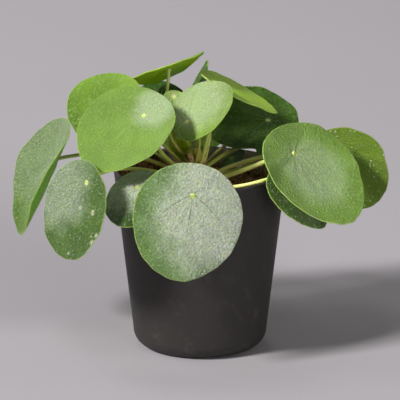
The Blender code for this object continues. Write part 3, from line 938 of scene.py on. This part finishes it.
def stalk_mesh(stalk, leaf):
    """A round section carried along the curve on axes that turn as little as they can.

    The radius falls by a tenth, is a little uneven, and grows by a third at the root and by half
    at the hub within a few millimetres.
    """
    path = stalk_path(stalk, leaf)
    tangents = np.gradient(path, axis=0)
    tangents /= np.linalg.norm(tangents, axis=1)[:, None]
    gone = np.concatenate([[0], np.cumsum(np.linalg.norm(np.diff(path, axis=0), axis=1))])
    left = gone[-1] - gone
    share = gone / gone[-1]
    seed = ord(stalk.leaf)
    radius = stalk.radius * (1 - 0.1 * share) * (1 + 0.03 * np.sin(gone * 0.9 + seed))
    radius *= 1 + 0.35 * np.exp(-gone / 3.0) + 0.5 * np.exp(-left / 1.6)
    reference = np.array([0.31, 0.95, 0.05])
    across = np.cross(tangents, reference)
    across /= np.linalg.norm(across, axis=1)[:, None]
    other = np.cross(tangents, across)
    turn = np.linspace(0, math.tau, STALK_SECTORS, endpoint=False)[None, :, None]
    circle = np.cos(turn) * across[:, None] - np.sin(turn) * other[:, None]
    rows = path[:, None] + radius[:, None, None] * circle
    marks = {"along": np.concatenate([[0], np.repeat(share, STALK_SECTORS), [1]])}
    return rolled_mesh("stalk_" + stalk.leaf, rows[:, ::-1] * MM, path[0] * MM, path[-1] * MM, marks)


def stalk_finish(name, root, middle, top):
    """Smooth green flesh: its root's colour, its middle's and its top's run into each other."""
    made = Finish(name, Subsurface_Weight=0.25, Subsurface_Radius=(0.8, 1.0, 0.3), Subsurface_Scale=0.002)
    place = made.place()
    along = made.attribute("along")
    streak = made.noise(place, 240.0, 3.0)
    fleck = made.cells(place, 900.0).between(0.3, 0.1)
    sway = along + (streak - 0.5) * 0.25
    colour = made.blend(sway.between(0.02, 0.3), root, middle)
    colour = made.blend(sway.between(0.5, 0.95), colour, top)
    colour = made.blend(fleck * 0.3, colour, tone(222, 222, 170))
    relief = made.bump(streak, 0.0004, 0.5)
    return made.feed(Base_Color=colour, Roughness=0.36 + 0.2 * streak, Normal=relief)


STALK_FINISHES = {
    "lime": stalk_finish("stalk_lime", tone(170, 166, 74), tone(190, 204, 92), tone(190, 206, 104)),
    # painted light: the pale stalks (i, m, n and o) are lightened to stand in for light falling on them
    "pale": stalk_finish("stalk_pale", tone(196, 198, 96), tone(220, 226, 130), tone(206, 220, 120)),
    "olive": stalk_finish("stalk_olive", tone(150, 132, 60), tone(168, 168, 76), tone(180, 194, 100)),
}
leaf_by_name = {leaf.name: leaf for leaf in LEAVES}
for stalk in STALKS:
    mesh = stalk_mesh(stalk, leaf_by_name[stalk.leaf])
    finish = STALK_FINISHES[stalk.finish]
    install("petiole_" + stalk.leaf, mesh, finish, "stalk_green", "stalk_" + stalk.leaf)


# ---------------------------------------------------------------------------------------------
# Studio: a plain pale floor under soft lamps, the strongest on the left, and a long lens that
# looks slightly down on the plant.
# ---------------------------------------------------------------------------------------------

FLOOR_HALF = 8.0
VIEW_ELEVATION = 15.75
VIEW_DISTANCE = 2.4
VIEW_LENS = 299.0
FLOOR_TONES = (tone(151, 147, 150), tone(154, 150, 153))
# painted shade: the darker grey of a band of floor behind and to the left
FLOOR_PAINTED_SHADE = tone(139, 135, 138)
AIR_TONE = tone(184, 181, 184)
AIR_BRIGHTNESS = 0.35


def floor_finish():
    """Painted board: warm grey with the faintest mottling, and a band of painted shade behind and to the
    left.
    """
    made = Finish("studio_floor")
    place = made.place()
    cloud = made.noise(place, 3.0, 2.0)
    right = made.part(place, "X")
    back = made.part(place, "Y")
    # painted shade on the floor, not the board's own colour
    painted_shade_band = back.between(0.0, 0.08) * back.between(0.6, 0.15) * right.between(0.1, -0.05)
    colour = made.blend(painted_shade_band, made.blend(cloud, *FLOOR_TONES), FLOOR_PAINTED_SHADE)
    return made.feed(Base_Color=colour, Roughness=0.75 + 0.1 * cloud)


corners = np.array([(-1, -1, 0), (1, -1, 0), (1, 1, 0), (-1, 1, 0)]) * FLOOR_HALF
floor_mesh = bpy.data.meshes.new("studio_floor")
floor_mesh.from_pydata(corners.tolist(), [], [(0, 1, 2, 3)])
floor_mesh.materials.append(floor_finish())
floor = bpy.data.objects.new("studio_floor", floor_mesh)
bpy.context.scene.collection.objects.link(floor)

middle = (cad_box[0][2] + cad_box[1][2]) / 2
Lamp = namedtuple("Lamp", "name side elevation distance size brightness aim")
# side is the lamp's compass, elevation its height angle and distance its distance from its aim;
# brightness is what the lamp's face shines, where the floor shines about 0.4
LAMPS = (
    Lamp("key_left", -57, 38, 8.0, 1.5, 148.0, (0.0, 0.0, middle)),
    Lamp("left_high", -108, 61, 1.8, 0.5, 6.5, (0.0, 0.0, middle)),
    Lamp("right_high", 100, 40, 2.0, 0.8, 1.6, (0.0, 0.0, middle)),
    Lamp("right_front", 31, 9, 2.2, 1.0, 6.0, (0.0, 0.0, middle)),
    Lamp("far_floor", -80, 75, 1.5, 0.8, 3.5, (0.1, 2.0, 0.0)),
)
for entry in LAMPS:
    data = bpy.data.lights.new(entry.name, "AREA")
    data.shape = "SQUARE"
    data.size = entry.size
    data.energy = entry.brightness * math.pi * entry.size ** 2
    lamp = bpy.data.objects.new(entry.name, data)
    bpy.context.scene.collection.objects.link(lamp)
    rise = math.radians(entry.elevation)
    way = direction(entry.side) * math.cos(rise) + np.array([0.0, 0.0, math.sin(rise)])
    lamp.location = np.array(entry.aim) + way * entry.distance
    lamp.rotation_euler = (math.pi / 2 - rise, 0.0, math.radians(entry.side))
    lamp.visible_camera = False

world = bpy.data.worlds.new("studio_air")
world.use_nodes = True
world.node_tree.nodes["Background"].inputs["Color"].default_value = AIR_TONE
world.node_tree.nodes["Background"].inputs["Strength"].default_value = AIR_BRIGHTNESS
bpy.context.scene.world = world

elevation = math.radians(VIEW_ELEVATION)
camera_data = bpy.data.cameras.new("camera")
camera_data.lens = VIEW_LENS
camera_data.sensor_width = 36.0
camera_data.clip_end = 60.0
camera = bpy.data.objects.new("camera", camera_data)
bpy.context.scene.collection.objects.link(camera)
camera.location = (0.0, -VIEW_DISTANCE * math.cos(elevation), middle + VIEW_DISTANCE * math.sin(elevation))
camera.rotation_euler = (math.pi / 2 - elevation, 0.0, 0.0)
bpy.context.scene.camera = camera
bpy.context.scene.view_settings.view_transform = "Standard"
